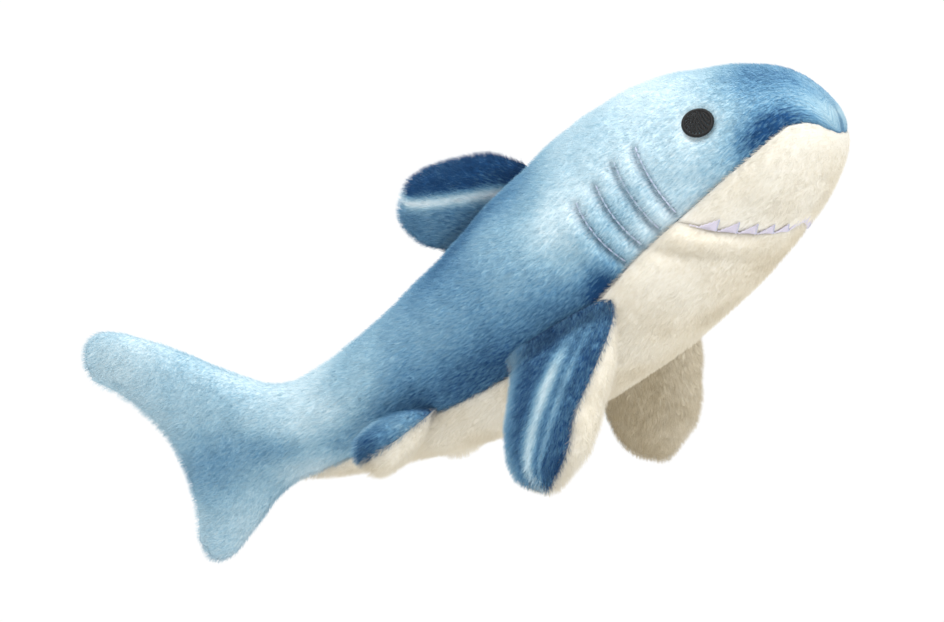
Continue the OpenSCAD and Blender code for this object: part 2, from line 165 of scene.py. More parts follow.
def mouth_row(f):
    return row_of(MOUTH_FRONT + (MOUTH_CORNER - MOUTH_FRONT) * np.abs(2 * f - 1) ** MOUTH_CURVE)


print("shift", SHIFT.round(3), "outward", skin_normal(np.array([5.0]), np.array([0.0])).round(2))

# %% [markdown]
# ## Camera, light and floor
# The toy is shown from its right, a little from the front and from below, through a long lens, on
# plain white. Big soft lamps keep the pile's own shading visible without hard shadows.

# %% Camera
LEVEL_TARGET = np.array([-153.609, 0, 6.445])
CAMERA_DISTANCE, LENS = 1.3, 139.9
azimuth, elevation, roll = math.radians(24), math.radians(-8), math.radians(27.037)
level = math.cos(elevation)
back = np.array([math.sin(azimuth) * level, -math.cos(azimuth) * level, math.sin(elevation)])
right = np.array([math.cos(azimuth), math.sin(azimuth), 0.0])
up = np.cross(back, right)
right, up = math.cos(roll) * right - math.sin(roll) * up, math.sin(roll) * right + math.cos(roll) * up
back, right, up = leaned(back), leaned(right), leaned(up)
target = (leaned(LEVEL_TARGET) + SHIFT) * MM
camera_data = bpy.data.cameras.new("camera")
camera_data.lens = LENS
camera = bpy.data.objects.new("camera", camera_data)
bpy.context.scene.collection.objects.link(camera)
place = target + back * CAMERA_DISTANCE
camera.matrix_world = Matrix([*np.stack([right, up, back, place], 1).tolist(), [0, 0, 0, 1]])
camera_data.clip_end = 100
bpy.context.scene.camera = camera
print("camera at", place.round(3))


# %% Light
middle = np.array([0, 0, 0.09])


def lamp(name, at, size, power):
    data = bpy.data.lights.new(name, "AREA")
    data.energy, data.size = power, size
    o = bpy.data.objects.new(name, data)
    o.location = Vector(at)
    o.rotation_euler = (Vector(middle) - Vector(at)).to_track_quat("-Z", "Y").to_euler()
    bpy.context.scene.collection.objects.link(o)


lamp("key", middle + up * 1.25 - right * 0.35 + back * 0.75, size=0.9, power=17)
lamp("side", middle + right * 1.1 + back * 1.2 + up * 0.2, size=1.2, power=9)
world = bpy.data.worlds.new("studio")
bpy.context.scene.world = world
world.use_nodes = True
# the room's light on the toy, and the brighter white that the camera sees behind it
ROOM, BACKDROP = 0.86, 1.02
sky = world.node_tree.nodes["Background"]
sky.inputs["Color"].default_value = (1, 1, 1, 1)
ray = world.node_tree.nodes.new("ShaderNodeLightPath")
glow = world.node_tree.nodes.new("ShaderNodeMapRange")
glow.inputs["To Min"].default_value, glow.inputs["To Max"].default_value = ROOM, BACKDROP
world.node_tree.links.new(ray.outputs["Is Camera Ray"], glow.inputs["Value"])
world.node_tree.links.new(glow.outputs["Result"], sky.inputs["Strength"])
bpy.context.scene.view_settings.view_transform = "Standard"
print("room light", ROOM, "backdrop", BACKDROP)

# %% Floor
FLOOR_SIZE, FLOOR_DROP = 30, 0.5
bm = bmesh.new()
bmesh.ops.create_grid(bm, x_segments=1, y_segments=1, size=FLOOR_SIZE)
floor_mesh = bpy.data.meshes.new("floor")
bm.to_mesh(floor_mesh)
bm.free()
floor = bpy.data.objects.new("floor", floor_mesh)
floor.location.z = -FLOOR_DROP
bpy.context.scene.collection.objects.link(floor)
floor_mat = bpy.data.materials.new("floor_white")
floor_mat.use_nodes = True
floor_shader = floor_mat.node_tree.nodes["Principled BSDF"]
floor_shader.inputs["Base Color"].default_value = (0.95, 0.95, 0.95, 1)
floor_shader.inputs["Roughness"].default_value = 1.0
floor_mesh.materials.append(floor_mat)
print("floor", FLOOR_DROP, "m below the toy")

# %% [markdown]
# ## Plush, thread and fibre
# Plush is a knitted backing with a dense short pile. Where the pile is brushed the other way it
# catches the light another way; that sheen is painted into the colour. So each panel carries two
# numbers in a UV map: its painted sheen and light, with the cloth's own random tone, and how deep
# it lies in painted shade; the cloth's own length and breadth go in another. The material mixes its
# blues or creams by them, and breaks them up with a fine streaky noise that runs along the pile.


# %% Plush material
SHADE_TINT = (0.34, 0.36, 0.42, 1)
# a Mix node has a set of sockets for each kind of value; these are its colour ones
MIX_A, MIX_B, MIX_RESULT = 6, 7, 2


def srgb(*c):
    return [((v / 255 + 0.055) / 1.055) ** 2.4 if v > 10 else v / 255 / 12.92 for v in c] + [1]


def plush(name, stops, cloud, streak):
    """stops holds the colours from dark to pale; cloud and streak are how strongly each noise shows."""
    mat = bpy.data.materials.new(name)
    mat.use_nodes = True
    nodes, links = mat.node_tree.nodes, mat.node_tree.links
    shader = nodes["Principled BSDF"]
    shader.inputs["Roughness"].default_value = 0.85
    shader.inputs["Specular IOR Level"].default_value = 0.25
    shader.inputs["Sheen Weight"].default_value = 0.12
    shader.inputs["Sheen Roughness"].default_value = 0.45

    def node(kind, **values):
        n = nodes.new(kind)
        for key, v in values.items():
            if key in n.inputs:
                n.inputs[key].default_value = v
            else:
                setattr(n, key, v)
        return n

    # X of this map is the painted sheen and light, with the cloth's random tone; Y is painted shade
    nap = node("ShaderNodeUVMap", uv_map="nap")
    cloth = node("ShaderNodeUVMap", uv_map="cloth")
    split = node("ShaderNodeSeparateXYZ")
    links.new(nap.outputs["UV"], split.inputs["Vector"])
    clouds = node("ShaderNodeTexNoise", Scale=90.0, Detail=3.0, Roughness=0.6)
    links.new(cloth.outputs["UV"], clouds.inputs["Vector"])
    stretch = node("ShaderNodeMapping", Scale=(0.3, 1.0, 1.0))
    links.new(cloth.outputs["UV"], stretch.inputs["Vector"])
    fibres = node("ShaderNodeTexNoise", Scale=1500.0, Detail=2.0, Roughness=0.55)
    links.new(stretch.outputs["Vector"], fibres.inputs["Vector"])

    def add(a, b, scale):
        m = node("ShaderNodeMath", operation="MULTIPLY_ADD")
        m.inputs[1].default_value = scale
        links.new(b, m.inputs[0])
        links.new(a, m.inputs[2])
        return m.outputs[0]

    centre = node("ShaderNodeMath", operation="SUBTRACT")
    links.new(split.outputs["X"], centre.inputs[0])
    centre.inputs[1].default_value = (cloud + streak) / 2
    value = add(add(centre.outputs[0], clouds.outputs["Fac"], cloud), fibres.outputs["Fac"], streak)
    ramp = node("ShaderNodeValToRGB")
    while len(ramp.color_ramp.elements) < len(stops):
        ramp.color_ramp.elements.new(0.5)
    for e, (at, colour) in zip(ramp.color_ramp.elements, stops):
        e.position, e.color = at, srgb(*colour)
    links.new(value, ramp.inputs["Fac"])
    shade = node("ShaderNodeMix", data_type="RGBA", blend_type="MULTIPLY")
    links.new(split.outputs["Y"], shade.inputs[0])
    links.new(ramp.outputs["Color"], shade.inputs[MIX_A])
    shade.inputs[MIX_B].default_value = SHADE_TINT
    links.new(shade.outputs[MIX_RESULT], shader.inputs["Base Color"])
    bump = node("ShaderNodeBump", Strength=0.5, Distance=0.0006)
    links.new(fibres.outputs["Fac"], bump.inputs["Height"])
    links.new(bump.outputs["Normal"], shader.inputs["Normal"])
    return mat


print("tint of the shade", SHADE_TINT[:3])


# %% The finishes
def thread_material(name, colour, rough=0.4, sheen=0.2):
    mat = bpy.data.materials.new(name)
    mat.use_nodes = True
    shader = mat.node_tree.nodes["Principled BSDF"]
    shader.inputs["Base Color"].default_value = srgb(*colour)
    shader.inputs["Roughness"].default_value = rough
    shader.inputs["Sheen Weight"].default_value = sheen
    return mat


BLUES = [(0.0, (26, 78, 128)), (0.25, (108, 158, 190)), (0.5, (164, 200, 216)),
         (0.75, (211, 230, 237)), (1.0, (242, 248, 250))]
CREAMS = [(0.0, (196, 182, 152)), (0.4, (238, 231, 214)), (1.0, (255, 254, 248))]
blue_plush = plush("blue_plush", BLUES, cloud=0.14, streak=0.72)
cream_plush = plush("cream_plush", CREAMS, cloud=0.16, streak=0.6)
fibre_white = thread_material("fibre_white", (238, 238, 236), 0.9, 0.5)
black_thread = thread_material("black_thread", (5, 4, 5), 0.5, 0.0)
lilac_thread = thread_material("lilac_thread", (222, 216, 232))
grey_thread = thread_material("grey_thread", (200, 204, 226))

# %% [markdown]
# ## Panels
# A sewn panel is a closed piece of cloth, backing and pile, pulled in along its seams. A bmesh grid
# gives its faces; the grid's points are then laid on the lofted surface, raised or sunk by the
# relief of seams, quilting and lumps. A second copy, drawn in, is bridged to it round the rim.

# %% Grid helpers
def grid_of(bm):
    """The points of a create_grid grid as an array of rows and columns, with their places 0 to 1."""
    bm.verts.ensure_lookup_table()
    xs = sorted({round(v.co.x, 5) for v in bm.verts})
    ys = sorted({round(v.co.y, 5) for v in bm.verts})
    table = {(round(v.co.x, 5), round(v.co.y, 5)): v for v in bm.verts}
    verts = [[table[(x, y)] for y in ys] for x in xs]
    p, q = np.meshgrid((np.array(xs) + 0.5), (np.array(ys) + 0.5), indexing="ij")
    return verts, p, q


def along_rows(points, axis):
    """Distance over the surface from the first row or column, in millimetres."""
    step = np.linalg.norm(np.diff(points, axis=axis), axis=-1)
    zero = np.zeros_like(np.take(step, [0], axis))
    return np.concatenate([zero, np.cumsum(step, axis)], axis) / MM


def lumps(points, size, seed=0.0):
    flat = points.reshape(-1, 3) / size
    return np.array([noise.noise(Vector(v) + Vector((seed, 0, 0))) for v in flat]).reshape(points.shape[:2])


def new_object(name, bm, material):
    mesh = bpy.data.meshes.new(name)
    for f in bm.faces:
        f.smooth = True
    bm.to_mesh(mesh)
    bm.free()
    mesh.materials.append(material)
    o = bpy.data.objects.new(name, mesh)
    bpy.context.scene.collection.objects.link(o)
    return o


print("lump at the nose", lumps(skin(np.array([[1.0]]), np.array([[0.0]])), 0.016).round(2))

# %% A sewn panel
CLOTH = 1.6 * MM
MERGE, TINY = 4e-6, 2e-6  # points nearer than MERGE become one, and edges shorter than TINY go
PILE_LEVELS = 10


def sewn_panel(name, rows, cols, lay, material):
    """lay(p, q) returns points, outward normals, painted light with tone, painted shade, two lengths and
    pile for places 0 to 1.
    """
    bm = bmesh.new()
    outer_layer, out_layer = bm.verts.layers.int.new("outer"), bm.verts.layers.float_vector.new("out")
    # the second UV map carries painted sheen and light with a random tone, and painted shade
    uv_cloth, uv_light_and_tone = bm.loops.layers.uv.new("cloth"), bm.loops.layers.uv.new("nap")
    bmesh.ops.create_grid(bm, x_segments=rows, y_segments=cols, size=0.5)
    verts, p, q = grid_of(bm)
    points, normals, nap, shade, length, breadth, pile = lay(p, q)
    values = {}
    for i, line in enumerate(verts):
        for j, v in enumerate(line):
            v.co, v[out_layer] = points[i, j], Vector(normals[i, j])
            v[outer_layer] = 1 + int(round(PILE_LEVELS * min(1.0, max(0.0, pile[i, j]))))
            values[v] = ((length[i, j] * MM, breadth[i, j] * MM), (nap[i, j], shade[i, j]))
    for f in bm.faces:
        for loop in f.loops:
            loop[uv_cloth].uv, loop[uv_light_and_tone].uv = values[loop.vert]
    bmesh.ops.remove_doubles(bm, verts=bm.verts[:], dist=MERGE)
    bmesh.ops.dissolve_degenerate(bm, edges=bm.edges[:], dist=TINY)
    bm.normal_update()
    if sum(f.normal.dot(f.verts[0][out_layer]) * f.calc_area() for f in bm.faces) < 0:
        bmesh.ops.reverse_faces(bm, faces=bm.faces[:])
    copy = bmesh.ops.duplicate(bm, geom=bm.verts[:] + bm.edges[:] + bm.faces[:])
    originals = [(old, new) for old, new in copy["vert_map"].items() if isinstance(old, bmesh.types.BMVert)]
    fresh = {g for g in copy["geom"] if isinstance(g, bmesh.types.BMVert)}
    for old, new in originals:
        if new in fresh:
            new.co, new[outer_layer] = old.co - old[out_layer] * CLOTH, 0
    bmesh.ops.reverse_faces(bm, faces=[g for g in copy["geom"] if isinstance(g, bmesh.types.BMFace)])
    rims = [e for e in bm.edges if len(e.link_faces) == 1]
    bridged = set(bmesh.ops.bridge_loops(bm, edges=rims)["faces"])
    for f in bridged:
        for loop in f.loops:
            near = [l for l in loop.vert.link_loops if l.face not in bridged]
            if near:
                loop[uv_cloth].uv, loop[uv_light_and_tone].uv = near[0][uv_cloth].uv, near[0][uv_light_and_tone].uv
    bm.verts.index_update()
    open_edges = sum(1 for e in bm.edges if len(e.link_faces) != 2)
    dense = {}
    for v in bm.verts:
        dense.setdefault(v[outer_layer], []).append(v.index)
    o = new_object(name, bm, material)
    group = o.vertex_groups.new(name="pile")
    for level, members in dense.items():
        if level > 1:
            group.add(members, (level - 1) / PILE_LEVELS, "REPLACE")
    print(name, len(o.data.polygons), "faces,", open_edges, "open edges")
    return o


print("cloth", CLOTH / MM, "mm thick")

# %% [markdown]
# ## Body panels
# Two blue side panels run from the nose to the tail's tip and meet along the back. A cream muzzle
# and a cream belly fill the space under them and meet at the mouth. Each seam pulls the cloth in.
# The four stitched gill lines quilt the side: the cloth sinks at each line and puffs out between.

# %% Relief of the body
GILL_PLACE, GILL_STEP = 60, 8.8
GILLS = [(27, -13), (25.5, -14.5), (21, -16), (20, -17.5)]  # upper and lower end, in degrees
GILL_SINK, GILL_PUFF = (2.5, 1.3), (1.0, 2.6)  # depth or height, and half width
EYE_PLACE, EYE_ANGLE, EYE_R = 37, 24, 5.4
EYE_DEGREE = 0.55  # millimetres of cloth in one degree at the eye
BREAST_PLACE, BREAST_ANGLE = 112, -27


def gill_line(i, f):
    """A place and angle on line i, f of the way down it; the later lines curve more."""
    return GILL_PLACE + GILL_STEP * i - (3 + i) * f * f, GILLS[i][0] + (GILLS[i][1] - GILLS[i][0]) * f


def seam_dip(distance, depth, width):
    return -depth * np.exp(-np.abs(distance) / width)


def gill_relief(along, angle):
    """Millimetres out of the surface, and how deep in the stitched lines a point is."""
    rise, deep = np.zeros_like(along), np.zeros_like(along)
    for i, (top, low) in enumerate(GILLS):
        f = (angle - top) / (low - top)
        inside = 1 / (1 + np.exp(-(f + 0.02) * 40)) / (1 + np.exp((f - 1.03) * 40))
        d = along - gill_line(i, np.clip(f, 0, 1))[0]
        rise -= GILL_SINK[0] * np.exp(-(d / GILL_SINK[1]) ** 2) * inside
        deep += np.exp(-((d - 0.3) / 1.5) ** 2) * inside
        rise += GILL_PUFF[0] * np.exp(-((d - GILL_STEP / 2) / GILL_PUFF[1]) ** 2) * inside
    return rise, deep


def patch(along, angle, at, turn, length, breadth):
    """A soft spot, 1 in its middle."""
    return np.exp(-((along - at) / length) ** 2 - ((angle - turn) / breadth) ** 2)


print("gills", len(GILLS), "eye", 2 * EYE_R, "mm across")

# %% Painted sheen and shade of the blue cloth
# how pale the flank is painted at places along it, from the nose to the tail's tip: painted sheen of the
# brushed pile
PALE_AT = [0, 18, 34, 60, 88, 104, 130, 176, 205, 228, 256, 275, 300]
PALE = [0.34, 0.40, 0.68, 0.72, 0.60, 0.46, 0.34, 0.34, 0.56, 0.76, 0.54, 0.62, 0.66]
# painted pale spots of sheen and dark spots of shade, one by the breast fin's root: how much paler, place
# along, angle, and half length and breadth
SHEEN_AND_SHADE_SPOTS = [(-0.20, 130, 66, 30, 16), (-0.22, 16, 60, 14, 26), (0.18, 0, 0, 6, 60),
           (-0.50, 91, -22, 8, 12), (0.26, 96, 18, 11, 16), (-0.14, 72, 4, 20, 12)]


def blue_sheen_and_shade(along, angle, low):
    """Painted sheen and shade of the blue pile, 0 to 1, from the nose's dark saddle to the pale tail."""
    above = angle - low
    v = np.interp(along, PALE_AT, PALE)
    # painted shade low on the flank behind the gills, painted light high on the head and tail stock, and a
    # dark patch just above the seam on the snout
    v -= 0.24 * np.exp(-((angle + 22) / 20) ** 2) * np.clip((along - 70) / 30, 0, 1)
    v += 0.08 * (patch(along, angle, 55, 62, 38, 22) + patch(along, angle, 225, 62, 34, 22))
    v -= 0.40 * patch(along, above, 19, 8, 19, 16)
    for paler, at, turn, length, breadth in SHEEN_AND_SHADE_SPOTS:
        v += paler * patch(along, angle, at, turn, length, breadth)
    return v


print("brushed spots", len(SHEEN_AND_SHADE_SPOTS) + 3)

# %% Side panels
SIDE_GRID = 330, 84
NOSE_CROWD = 1.06  # above 1, the grid's rows lie closer together towards the nose
THIN_WITHIN = 2.4 * MM


def side_lay(sign):
    """sign is 1 for the right side and -1 for the left."""
    def lay(p, q):
        u = LAST * p ** NOSE_CROWD
        low = seam_angle(u)
        angle = 90 + (low - 90) * q
        base, normal = skin(u, angle), skin_normal(u, angle)
        across = along_rows(base, 1)
        from_back, from_seam = across, across[:, -1:] - across
        along = along_of(u)
        rise = 0.7 * lumps(base, 0.016) + 0.35 * lumps(base, 0.007, 5)
        rise += (seam_dip(from_seam, 1.5, 1.5) + seam_dip(from_back, 0.7, 1.0)) * np.clip(u / 1.6, 0.1, 1)
        quilt, deep = gill_relief(along, angle)
        rise += quilt
        eye = np.hypot(along - EYE_PLACE, (angle - EYE_ANGLE) * EYE_DEGREE)
        rise -= 0.9 * np.exp(-((eye - EYE_R - 0.2) / 1.3) ** 2) + 0.5 * (eye < EYE_R - 0.2)
        rise -= 1.3 * patch(along, angle, BREAST_PLACE, BREAST_ANGLE, 24, 9)
        fade = np.clip((LAST - u) / 0.5, 0.15, 1) * np.clip(u / 0.4, 0.1, 1)
        points = base + normal * (rise * fade)[..., None] * MM
        # painted sheen, light and shade of the blue pile, with a random tone
        nap = blue_sheen_and_shade(along, angle, low) + 0.10 * lumps(base, 0.02, 9)
        shade = np.clip(0.75 * deep + 0.5 * np.exp(-from_seam / 1.2) + 0.2 * np.exp(-from_back / 1.0)
                        + 0.35 * patch(along, angle, BREAST_PLACE, BREAST_ANGLE, 24, 6), 0, 1)
        breadth = across - across[:, -1:]
        pile = 1 - (eye < EYE_R + 0.5) - 0.8 * deep
        # the cloth is thinner where the two sides meet, so that neither comes through the other
        normal = normal * np.clip(np.abs(points[..., 1:2]) / THIN_WITHIN, 0.12, 1)
        if sign < 0:
            points, normal = points * [1, -1, 1], normal * [1, -1, 1]
        return points, normal, nap, shade, along, breadth, pile
    return lay


right_side = sewn_panel("right_side", *SIDE_GRID, side_lay(1), blue_plush)
left_side = sewn_panel("left_side", *SIDE_GRID, side_lay(-1), blue_plush)

# %% Cream panels
MUZZLE_GRID, BELLY_GRID = (60, 110), (170, 90)
LIP, CREASE = (1.5, 5.5, 3.5), (1.3, 12.5, 3)  # height or depth, place behind the mouth, half width
BELLY_END = LAST_BODY + 1.0


def cream_lay(first, last, belly):
    """first and last give the row where the panel starts and ends, q of the way across it."""
    def lay(p, q):
        start, end = first(q), last(q)
        u = start + (end - start) * p
        low = seam_angle(u)
        angle = low + (-180 - 2 * low) * q
        base, normal = skin(u, angle), skin_normal(u, angle)
        across, down = along_rows(base, 1), along_rows(base, 0)
        side = np.minimum(across, across[:, -1:] - across)
        mouth = down if belly else down[-1:] - down
        along = along_of(u)
        rise = 0.6 * lumps(base, 0.018, 3) + 0.35 * lumps(base, 0.008, 7)
        rise += seam_dip(side, 1.2, 1.6) + seam_dip(mouth, 1.1, 1.1)
        if belly:
            rise += LIP[0] * np.exp(-((mouth - LIP[1]) / LIP[2]) ** 2)
            rise -= CREASE[0] * np.exp(-((mouth - CREASE[1]) / CREASE[2]) ** 2)
        near_floor = np.clip(base[..., 2] / (5 * MM), 0.0, 1)
        fade = np.clip(side / 3, 0.35, 1) * near_floor
        rise = np.where(rise > 0, rise * near_floor, rise)
        points = base + normal * (rise * fade)[..., None] * MM
        points[..., 2] = np.maximum(points[..., 2], 0)
        # a random tone, with painted shade along the very bottom and just behind the mouth, and the muzzle
        # painted paler as painted light
        nap = 0.58 + 0.16 * lumps(base, 0.014, 2) - 0.18 * np.exp(-((angle + 90) / 26) ** 2)
        nap -= 0.14 * patch(along, angle, 42, -60, 7, 60) if belly else -0.12
        shade = np.clip(0.25 * np.exp(-side / 1.3) + 0.3 * np.exp(-mouth / 0.8), 0, 1)
        pile = np.ones_like(side) if belly else np.clip((mouth - 1) / 8, 0.12, 1)
        return points, normal, nap, shade, along, across, pile
    return lay


muzzle_lay = cream_lay(lambda q: NOSE_CAP + 0 * q, mouth_row, False)
belly_lay = cream_lay(mouth_row, lambda q: BELLY_END + 0 * q, True)
muzzle = sewn_panel("muzzle", *MUZZLE_GRID, muzzle_lay, cream_plush)
belly = sewn_panel("belly", *BELLY_GRID, belly_lay, cream_plush)

# %% [markdown]
# ## Fins
# Each fin is two leaf-shaped panels sewn along their edge, turned, stuffed and sewn into a seam of
# the body. The root runs a few millimetres into the body, so that no gap opens when the fin moves.


# %% A place for a fin
def at(along, angle):
    """A point of the body in millimetres, by its place along and its angle."""
    return skin(row_of(np.array(float(along))), np.array(float(angle))) / MM


def root_fin(place, root, angle_front, angle_rear, way_out, reach, thick, front, rear):
    """front and rear are outlines, along in half roots and out in reaches. The root clears the bulge."""
    a, b = at(place - root / 2, angle_front), at(place + root / 2, angle_rear)
    way = unit(a - b)
    out = unit(way_out - way * (way_out @ way))
    bulge = max((at(place - root / 2 + root * f, angle_front + (angle_rear - angle_front) * f)
                 - a * (1 - f) - b * f) @ out for f in (0.1, 0.3, 0.5, 0.7, 0.9))
    return dict(at=(a + b) / 2 + out * (bulge + ROOT_CLEAR + thick / 8), along=way, out=out,
                face=np.cross(way, out), root=root / 2, reach=reach, half=thick / 2,
                front=np.array(front), rear=np.array(rear))


ROOT_CLEAR = 0.8
BACK_FIN = root_fin(
    place=131, root=46, angle_front=90, angle_rear=90, way_out=np.array([0, 0, 1.0]), reach=25, thick=13,
    front=[[1, 0], [0.62, 0.5], [-0.12, 0.92], [-0.55, 1]],
    rear=[[-0.9, 0], [-1.1, 0.3], [-1.08, 0.75], [-0.55, 1]])
PELVIC_DROOP = math.radians(15)
PELVIC_FIN = root_fin(
    place=185, root=26, angle_front=-28, angle_rear=-38,
    way_out=np.array([0, -math.cos(PELVIC_DROOP), -math.sin(PELVIC_DROOP)]), reach=19, thick=12,
    front=[[1, 0], [0.95, 0.45], [0.3, 0.88], [-0.5, 1]],
    rear=[[-1, 0], [-1.22, 0.35], [-1.15, 0.8], [-0.5, 1]])
PELVIC_FIN["plump"] = 1.35
print("back fin root", BACK_FIN["at"].round(2), "pelvic fin root", PELVIC_FIN["at"].round(2))

# %% The breast fin
# it droops until its tip rests on the ground that the chin lies on
BREAST_ROOT, BREAST_REACH, BREAST_TIP = 41, 47.5, -1.1
BREAST_FRONT_ANGLE, BREAST_REAR_ANGLE = -28, -23
TIP_HEIGHT = 4.6  # of the tip's middle over the ground
a = at(BREAST_PLACE - BREAST_ROOT / 2, BREAST_FRONT_ANGLE)
b = at(BREAST_PLACE + BREAST_ROOT / 2, BREAST_REAR_ANGLE)
way = unit(a - b)
level_out = unit(np.cross(way, [0, 0, 1.0]))
rise_way = np.cross(level_out, way)
tip = (a + b) / 2 + way * BREAST_TIP * (BREAST_ROOT / 2)
drop = math.asin(min(0.99, (tip[2] - TIP_HEIGHT) / (BREAST_REACH * rise_way[2])))
BREAST_FIN = root_fin(
    place=BREAST_PLACE, root=BREAST_ROOT, angle_front=BREAST_FRONT_ANGLE, angle_rear=BREAST_REAR_ANGLE,
    way_out=level_out * math.cos(drop) - rise_way * math.sin(drop), reach=BREAST_REACH, thick=17,
    front=[[1.02, 0], [0.8, 0.24], [0.36, 0.55], [-0.24, 0.85], [BREAST_TIP, 1]],
    rear=[[-1.12, 0], [-1.35, 0.27], [-1.57, 0.55], [-1.55, 0.8], [BREAST_TIP, 1]])
print("breast fin droops", round(math.degrees(drop)), "degrees; root", BREAST_FIN["at"].round(2))


# %% Points of a fin
def edge(line, t):
    """A smooth curve through an outline's points."""
    pts = np.concatenate([[2 * line[0] - line[1]], line, [2 * line[-1] - line[-2]]])
    x = np.clip(t, 0, 1) * (len(line) - 1)
    i = np.minimum(np.floor(x), len(line) - 2).astype(int)
    s = (x - i)[..., None]
    a, b, c, d = (pts[i + k] for k in range(4))
    return 0.5 * (2 * b + (c - a) * s + (2 * a - 5 * b + 4 * c - d) * s**2 + (3 * b - a - 3 * c + d) * s**3)


def fin_point(fin, t, turn, face, inset=0.0):
    """t runs from the root to the tip; turn goes round from the front edge, 0, to the rear edge, pi."""
    v = np.cos(turn)
    front, rear = edge(fin["front"], t), edge(fin["rear"], t)
    pull = 1 - inset / fin["reach"]
    mid = (front + rear) / 2 + (front - rear) / 2 * (v * pull)[..., None]
    away = mid[..., 1] * pull * fin["reach"] + np.minimum(t, 0) * fin["reach"]
    profile = 0.35 + 0.65 * np.sin(np.radians(np.clip(200 * t, 0, 90)))
    half = fin["half"] * fin.get("plump", 1) * profile * np.sqrt(np.maximum(0, 1 - np.clip(t, 0, 1) ** 6))
    lift = face * np.maximum(0, half - inset) * np.sin(turn)
    return (fin["at"] + fin["along"] * (mid[..., 0] * fin["root"])[..., None]
            + fin["out"] * away[..., None] + fin["face"] * lift[..., None]) * MM


def fin_lay(fin, face, light_and_tone_of, sign, deep, over=0.0):
    """deep is how far the root runs into the body, in millimetres; over is how far, in radians,
    the lower cloth comes round the front edge on to the top."""
    start = -deep / fin["reach"]

    def lay(p, q):
        t = start + (1 - start) * np.sin(p * math.pi / 2)
        first = -face * over * np.clip(1.5 * t + 0.1, 0, 1) * (1 - np.clip(t, 0, 1) ** 6)
        turn = first + (math.pi - first) * q
        base, v = fin_point(fin, t, turn, face), np.cos(turn)
        dp, dq = np.gradient(base, axis=0), np.gradient(base, axis=1)
        normal = unit(np.cross(dp, dq) + fin["face"] * face * 1e-9)
        if (normal[5:-5, 5:-5] @ fin["face"]).mean() * face < 0:
            normal = -normal
        across, down = along_rows(base, 1), along_rows(base, 0)
        rim = np.minimum(np.minimum(across, across[:, -1:] - across), down[-1:] - down)
        rise = 0.5 * lumps(base, 0.009, 11) + seam_dip(rim, 0.9, 1.3)
        rise *= np.clip(rim / 1.5, 0.2, 1)
        points = base + normal * rise[..., None] * MM
        points[..., 2] = np.maximum(points[..., 2], 0)
        # painted sheen of the fin, with a random tone
        nap = light_and_tone_of(t, v) + 0.08 * lumps(base, 0.01, 4)
        from_root = np.maximum(t, 0) * fin["reach"]
        shade = np.clip(0.35 * np.exp(-rim / 1.2) + 0.45 * np.exp(-from_root / 2.5), 0, 1)
        if sign < 0:
            points, normal = points * [1, -1, 1], normal * [1, -1, 1]
        return points, normal, nap, shade, -down, across, np.ones_like(rim)
    return lay


print("back fin's tip", fin_point(BACK_FIN, np.array(1.0), np.array(math.pi / 2), 1).round(3))


# %% Painted sheen of the fins
def breast_sheen(t, v):
    """t is 1 at the tip; v is 1 at the front edge and -1 at the rear one. Two painted pale streaks of sheen
    cross the fin.
    """
    wide = np.exp(-((v - 0.30 + 0.85 * t) / 0.18) ** 2)
    thin = np.exp(-((v - 0.66 + 0.75 * t) / 0.09) ** 2)
    rear = np.exp(-((v + 0.95) / 0.25) ** 2)
    return 0.07 + (0.70 * wide + 0.30 * thin) * np.clip(3 * t + 0.1, 0, 1) + 0.34 * rear


def back_sheen(t, v):
    # a painted pale band of sheen crosses the fin, with paler painting on its rear root side and at the tip
    band = v - 0.35 + t
    behind = 0.26 / (1 + np.exp(band * 22))
    return behind + 0.70 * np.exp(-((band + 0.02) / 0.17) ** 2) + 0.2 * np.clip(t - 0.8, 0, 1)


def pelvic_sheen(t, v):
    # a painted pale streak of sheen across the middle of the fin, strongest towards its rear edge
    return 0.12 + 0.6 * np.exp(-((t - 0.45) / 0.2) ** 2) * (0.3 + 0.7 * np.clip(0.4 - v, 0, 1))


def cream_nap(t, v):
    return 0.50 + 0.1 * v


def far_cream_painted_shade(t, v):
    # the far fin's underside is painted darker: painted shade
    return 0.16 + 0.1 * v


print("breast nap, root to tip", breast_sheen(np.array([0, 0.5, 1]), 0).round(2))

# %% Fin panels
BREAST_GRID, PELVIC_GRID, BACK_GRID = (70, 60), (40, 36), (60, 50)
BREAST_DEEP, PELVIC_DEEP, BACK_DEEP = 5.5, 4.5, 5.0
BREAST_OVER = 0.85
SIDES = (("right", 1), ("left", -1))
fin_skins = []
for key, fin, blue, deep, over, grid in (
        ("breast", BREAST_FIN, breast_sheen, BREAST_DEEP, BREAST_OVER, BREAST_GRID),
        ("pelvic", PELVIC_FIN, pelvic_sheen, PELVIC_DEEP, 0.0, PELVIC_GRID)):
    for side, sign in SIDES:
        body = f"{side}_{key}_fin"
        # the far breast fin's cream underside gets painted shade
        cream = far_cream_painted_shade if body == "left_breast_fin" else cream_nap
        for part, face, light_and_tone_of, mat in (("top", -1, blue, blue_plush), ("bottom", 1, cream, cream_plush)):
            lay = fin_lay(fin, face, light_and_tone_of, sign, deep, over)
            piece = sewn_panel(f"{body}_{part}_skin", *grid, lay, mat)
            fin_skins.append((piece, body, fin, sign, mat, f"{body}_{part}"))
for part, face in SIDES:
    lay = fin_lay(BACK_FIN, face, back_sheen, 1, BACK_DEEP)
    piece = sewn_panel(f"back_fin_{part}_skin", *BACK_GRID, lay, blue_plush)
    fin_skins.append((piece, "back_fin", BACK_FIN, 1, blue_plush, f"back_fin_{part}_panel"))


